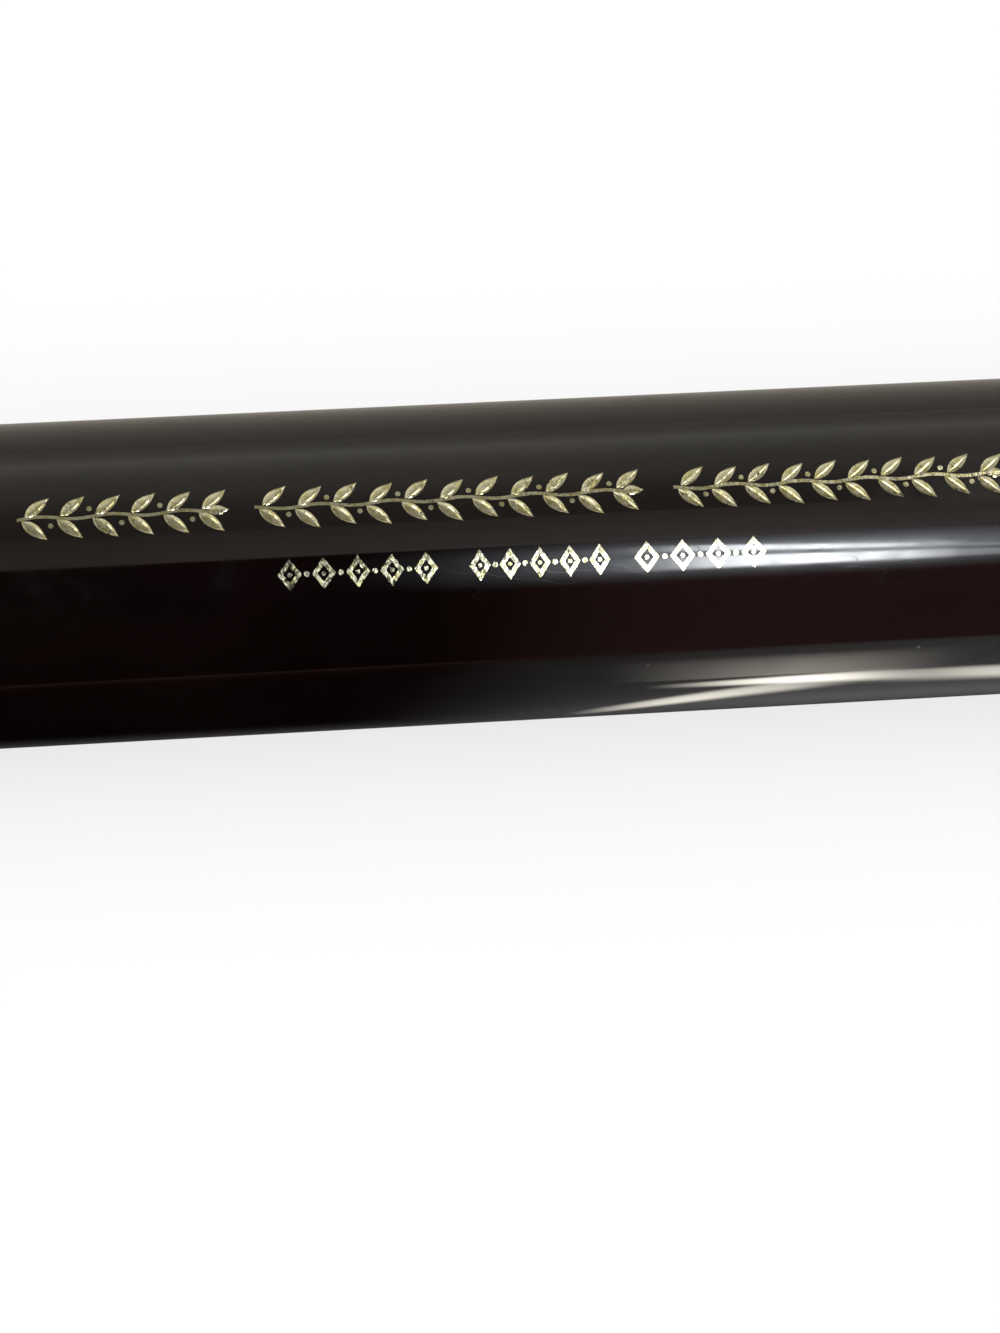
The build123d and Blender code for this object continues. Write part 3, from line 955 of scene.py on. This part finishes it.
class LINER_OT_stage(Operator):
    """Set the floor, the soft light and the camera"""

    bl_idname = "liner.stage"
    bl_label = "Stage"

    def execute(self, context):
        stage = context.scene.liner_stage
        middle = Vector((stage.view_station, 0, context.scene.liner_sizes.body_radius))
        self.floor()
        self.sky(context.scene)
        self.lamp(stage, middle)
        self.cards(stage, middle)
        self.camera(context.scene, stage, middle)
        context.scene.view_settings.view_transform = "Standard"
        return {"FINISHED"}

    def floor(self):
        """Plain matt white floor; 0.7 of it as seen is its own white, which keeps the shadow light."""
        material = bpy.data.materials.new("plain_floor")
        material.use_nodes = True
        graph = Graph(material.node_tree)
        drift = graph.fit(graph.noise(graph.place(), 9.0, 2.0), 0.3, 0.7)
        white = bpy.context.scene.liner_colours.floor
        tone = graph.mix(drift, white, darker(white, 0.985))
        matt = graph.add("BsdfDiffuse", {"Color": tone}).outputs[0]
        rays = graph.add("LightPath").outputs
        seen = graph.math("MAXIMUM", rays["Is Camera Ray"], rays["Is Glossy Ray"])
        seen = graph.math("MAXIMUM", seen, rays["Is Transmission Ray"])
        own = graph.add("Emission", {"Color": tone, "Strength": 1.0}).outputs[0]
        mixed = graph.add("MixShader", {0: graph.times(seen, 0.7), 1: matt, 2: own}).outputs[0]
        graph.feed(material.node_tree.nodes["Material Output"].inputs[0], mixed)
        bm = bmesh.new()
        bmesh.ops.create_grid(bm, x_segments=1, y_segments=1, size=3)
        stage_mesh("floor", bm, material)

    def sky(self, scene):
        """Pale studio walls that darken towards the ceiling; reflections show them a little warmer."""
        scene.world = bpy.data.worlds.new("studio")
        scene.world.use_nodes = True
        graph = Graph(scene.world.node_tree)
        rise = graph.add("SeparateXYZ", {0: graph.add("TexCoord").outputs["Generated"]}).outputs[2]
        walls = graph.add("ValToRGB", {0: rise})
        stops = (
            (0.0, 0.42), (0.12, 0.5), (0.26, 0.85), (0.52, 0.52), (0.7, 0.44), (0.85, 0.25), (0.93, 0.2),
        )
        ramp = walls.color_ramp
        ramp.elements[0].position, ramp.elements[1].position = stops[0][0], stops[-1][0]
        for position, _ in stops[1:-1]:
            ramp.elements.new(position)
        for element, (_, level) in zip(ramp.elements, stops):
            element.color = (level, level, level, 1)
        glossy = graph.add("LightPath").outputs["Is Glossy Ray"]
        tint = graph.mix(glossy, (1, 1, 1), (1, 0.97, 0.85))
        both = {0: 1.0, 6: walls.outputs[0], 7: tint}
        tinted = graph.add("Mix", both, data_type="RGBA", blend_type="MULTIPLY").outputs[2]
        graph.feed(scene.world.node_tree.nodes["Background"].inputs["Color"], tinted)

    def lamp(self, stage, middle):
        """Broad square lamp overhead that isn't seen in reflections."""
        light = bpy.data.lights.new("fill", "AREA")
        light.size = 1.6
        light.energy = stage.fill * pi * light.size**2
        made = bpy.data.objects.new("fill", light)
        bpy.context.scene.collection.objects.link(made)
        made.location = middle + Vector((0, 0, light.size / 2))
        made.visible_camera = False
        made.visible_glossy = False

    def cards(self, stage, middle):
        """Dark and pale cards round the liner: a lacquered shell only shows what it reflects."""
        x = middle.x
        black, cool, warm, dusk = (0, 0, 0), (0.93, 0.97, 1.0), (1.0, 0.95, 0.84), (1.0, 0.51, 0.42)

        # Arched cards, by x and degrees up from the front. A nearer card hides those behind it.
        window, glow, dark, ceiling, far = (arched(reach) for reach in (0.36, 0.37, 0.40, 0.41, 0.43))
        fades = [(0, 1.0, 0.761), (0, 0.0, 0.25)]
        card("dark_card", black, 0.0, dark, (x - 0.07, -2, 84), (x + 0.068, -2, 84), fades)
        fades = [(0, 0.0, 0.15), (0, 1.0, 0.8)]
        card("dusk_card", dusk, 0.19, far, (x - 0.07, -2, 84), (x + 0.17, -2, 84), fades)
        fades = [(0, 0.25, 0.75, 0.42), (1, 1.0, 0.16, 0.5)]
        ends = (x - 0.07, 84, 104), (x + 0.15, 84, 104)
        card("ceiling_card", (1.0, 0.84, 0.76), 0.58, ceiling, *ends, fades)
        lengthwise = [(0, 0.12, 0.5), (0, 0.82, 0.68, 0.1)]
        fades = lengthwise + [(1, 0.0, 0.2), (1, 1.0, 0.9)]
        ends = (x + 0.048, 76.4, 81.8), (x + 0.105, 66.5, 68.9)
        card("window_upper", cool, stage.window, window, *ends, fades)
        fades = lengthwise + [(1, 0.0, 0.3), (1, 1.0, 0.93)]
        ends = (x + 0.048, 60.0, 72.8), (x + 0.105, 60.4, 65.0)
        card("window_lower", cool, stage.window, window, *ends, fades)
        fades = [(0, 0.05, 0.55), (0, 0.9, 0.45), (1, 0.0, 0.5), (1, 1.0, 0.6)]
        card("window_glow", (0.8, 0.9, 1.0), 3.6, glow, (x + 0.015, 52, 88), (x + 0.15, 52, 86), fades)
        fades = [(0, 0.0, 0.15), (0, 1.0, 0.4), (1, 0.0, 0.2), (1, 1.0, 0.8)]
        ends = (x + 0.107, 95, 148), (x + 0.165, 95, 148)
        card("gleam_card", (1, 0.97, 0.9), 3.4, window, *ends, fades)

        # Level cards just above the floor, each height for one or two that don't overlap.
        wide, edge, glow, tail, foot, rise = 0.0003, 0.0004, 0.00045, 0.0005, 0.00055, 0.0006
        fades = [(1, 0.55, 0.45, 0.6), (1, 0.0, 0.15), (1, 1.0, 0.7)]
        ends = (-2.9, x - 1.08, x + 2.03), (-0.002, x - 0.074, x + 0.078)
        card("near_card", black, 0.0, beside(wide), *ends, fades)
        fades = [(0, 0.0, 0.2), (0, 1.0, 0.7)]
        ends = (x - 0.12, 0.002, 2.5), (0.3, 0.002, 2.5)
        card("far_card", (1, 0.93, 0.8), 0.38, on_floor(wide), *ends, fades)
        ends = (-0.03, x - 0.12, 0.5), (-2.9, x - 0.12, 0.5)
        card("horizon_card", dusk, 0.19, beside(edge), *ends, [(0, 0.0, 0.1)])
        ends = (-0.0072, -0.3, 0.3), (-0.002, -0.3, 0.3)
        card("contact_card", (1, 1, 1), 0.07, beside(edge), *ends, [(0, 0.0, 0.6)])
        fades = [(0, 1.0, 0.0), (1, 0.0, 0.6), (1, 1.0, 0.5)]
        ends = (-0.0145, x + 0.004, x + 0.0165), (-0.05, x + 0.007, x + 0.026)
        card("streak_glow", warm, 3.0, beside(glow), *ends, fades)
        across = [(1, 0.0, 0.4), (1, 1.0, 0.6)]
        fades = [(0, 0.0, 0.45), (0, 1.0, 0.6)] + across
        ends = (x + 0.0105, -0.0150, -0.0090), (x + 0.0260, -0.0135, -0.0070)
        card("streak_tail", warm, 0.45 * stage.streak, on_floor(tail), *ends, fades)
        ends = (x + 0.0020, -0.0060, -0.0048), (x + 0.0130, -0.0145, -0.0095)
        card("streak_foot", warm, 0.36 * stage.streak, on_floor(foot), *ends, fades)
        fades = [(0, 0.0, 0.45), (0, 0.82, 0.42)] + across
        ends = (x + 0.0050, -0.0125, -0.0110), (x + 0.0170, -0.0162, -0.0086)
        card("streak_rise", warm, stage.streak, on_floor(rise), *ends, fades)

    def camera(self, scene, stage, middle):
        level = Vector((0, cos(stage.elevation), -sin(stage.elevation)))
        along = Vector((1, 0, 0))
        forward = cos(stage.yaw) * level + sin(stage.yaw) * along
        right = cos(stage.yaw) * along - sin(stage.yaw) * level
        up = right.cross(forward)
        rolled_right = cos(stage.roll) * right - sin(stage.roll) * up
        rolled_up = sin(stage.roll) * right + cos(stage.roll) * up
        data = bpy.data.cameras.new("camera")
        data.lens = stage.lens
        data.sensor_width = 36
        data.clip_start = 0.01
        made = bpy.data.objects.new("camera", data)
        scene.collection.objects.link(made)
        turn = Matrix((rolled_right, rolled_up, -forward)).transposed().to_4x4()
        away = middle - stage.view_drop * rolled_up - stage.distance * forward
        made.matrix_world = Matrix.Translation(away) @ turn
        scene.camera = made


class LINER_PT_dresser(Panel):
    """Sizes, colours and steps of the liner"""

    bl_idname = "LINER_PT_dresser"
    bl_label = "Kohl Liner"
    bl_space_type = "VIEW_3D"
    bl_region_type = "UI"
    bl_category = "Liner"

    def draw(self, context):
        for operator in OPERATORS:
            self.layout.operator(operator.bl_idname)
        for name in SETTINGS:
            settings = getattr(context.scene, name)
            column = self.layout.column()
            for item in settings.bl_rna.properties:
                if item.identifier not in ("rna_type", "name"):
                    column.prop(settings, item.identifier)


SETTINGS = {
    "liner_sizes": LinerSizes,
    "liner_colours": LinerColours,
    "liner_foil": FoilLayout,
    "liner_stage": StageSettings,
}
OPERATORS = (
    LINER_OT_outer_shells,
    LINER_OT_foil_sprigs,
    LINER_OT_foil_row,
    LINER_OT_neck,
    LINER_OT_nozzle,
    LINER_OT_kohl_stick,
    LINER_OT_tail_button,
    LINER_OT_mechanism,
    LINER_OT_stage,
)


def register():
    """Registers the classes and hangs the settings on the scene."""
    for settings in SETTINGS.values():
        bpy.utils.register_class(settings)
    for cls in (*OPERATORS, LINER_PT_dresser):
        bpy.utils.register_class(cls)
    for name, settings in SETTINGS.items():
        setattr(bpy.types.Scene, name, PointerProperty(type=settings))


def unregister():
    """Takes the settings and the classes away again."""
    for name in SETTINGS:
        delattr(bpy.types.Scene, name)
    for cls in (LINER_PT_dresser, *reversed(OPERATORS), *reversed(SETTINGS.values())):
        bpy.utils.unregister_class(cls)


def main():
    """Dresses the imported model."""
    register()
    for operator in OPERATORS:
        getattr(bpy.ops.liner, operator.bl_idname.removeprefix("liner."))()


if __name__ == "__main__":
    main()
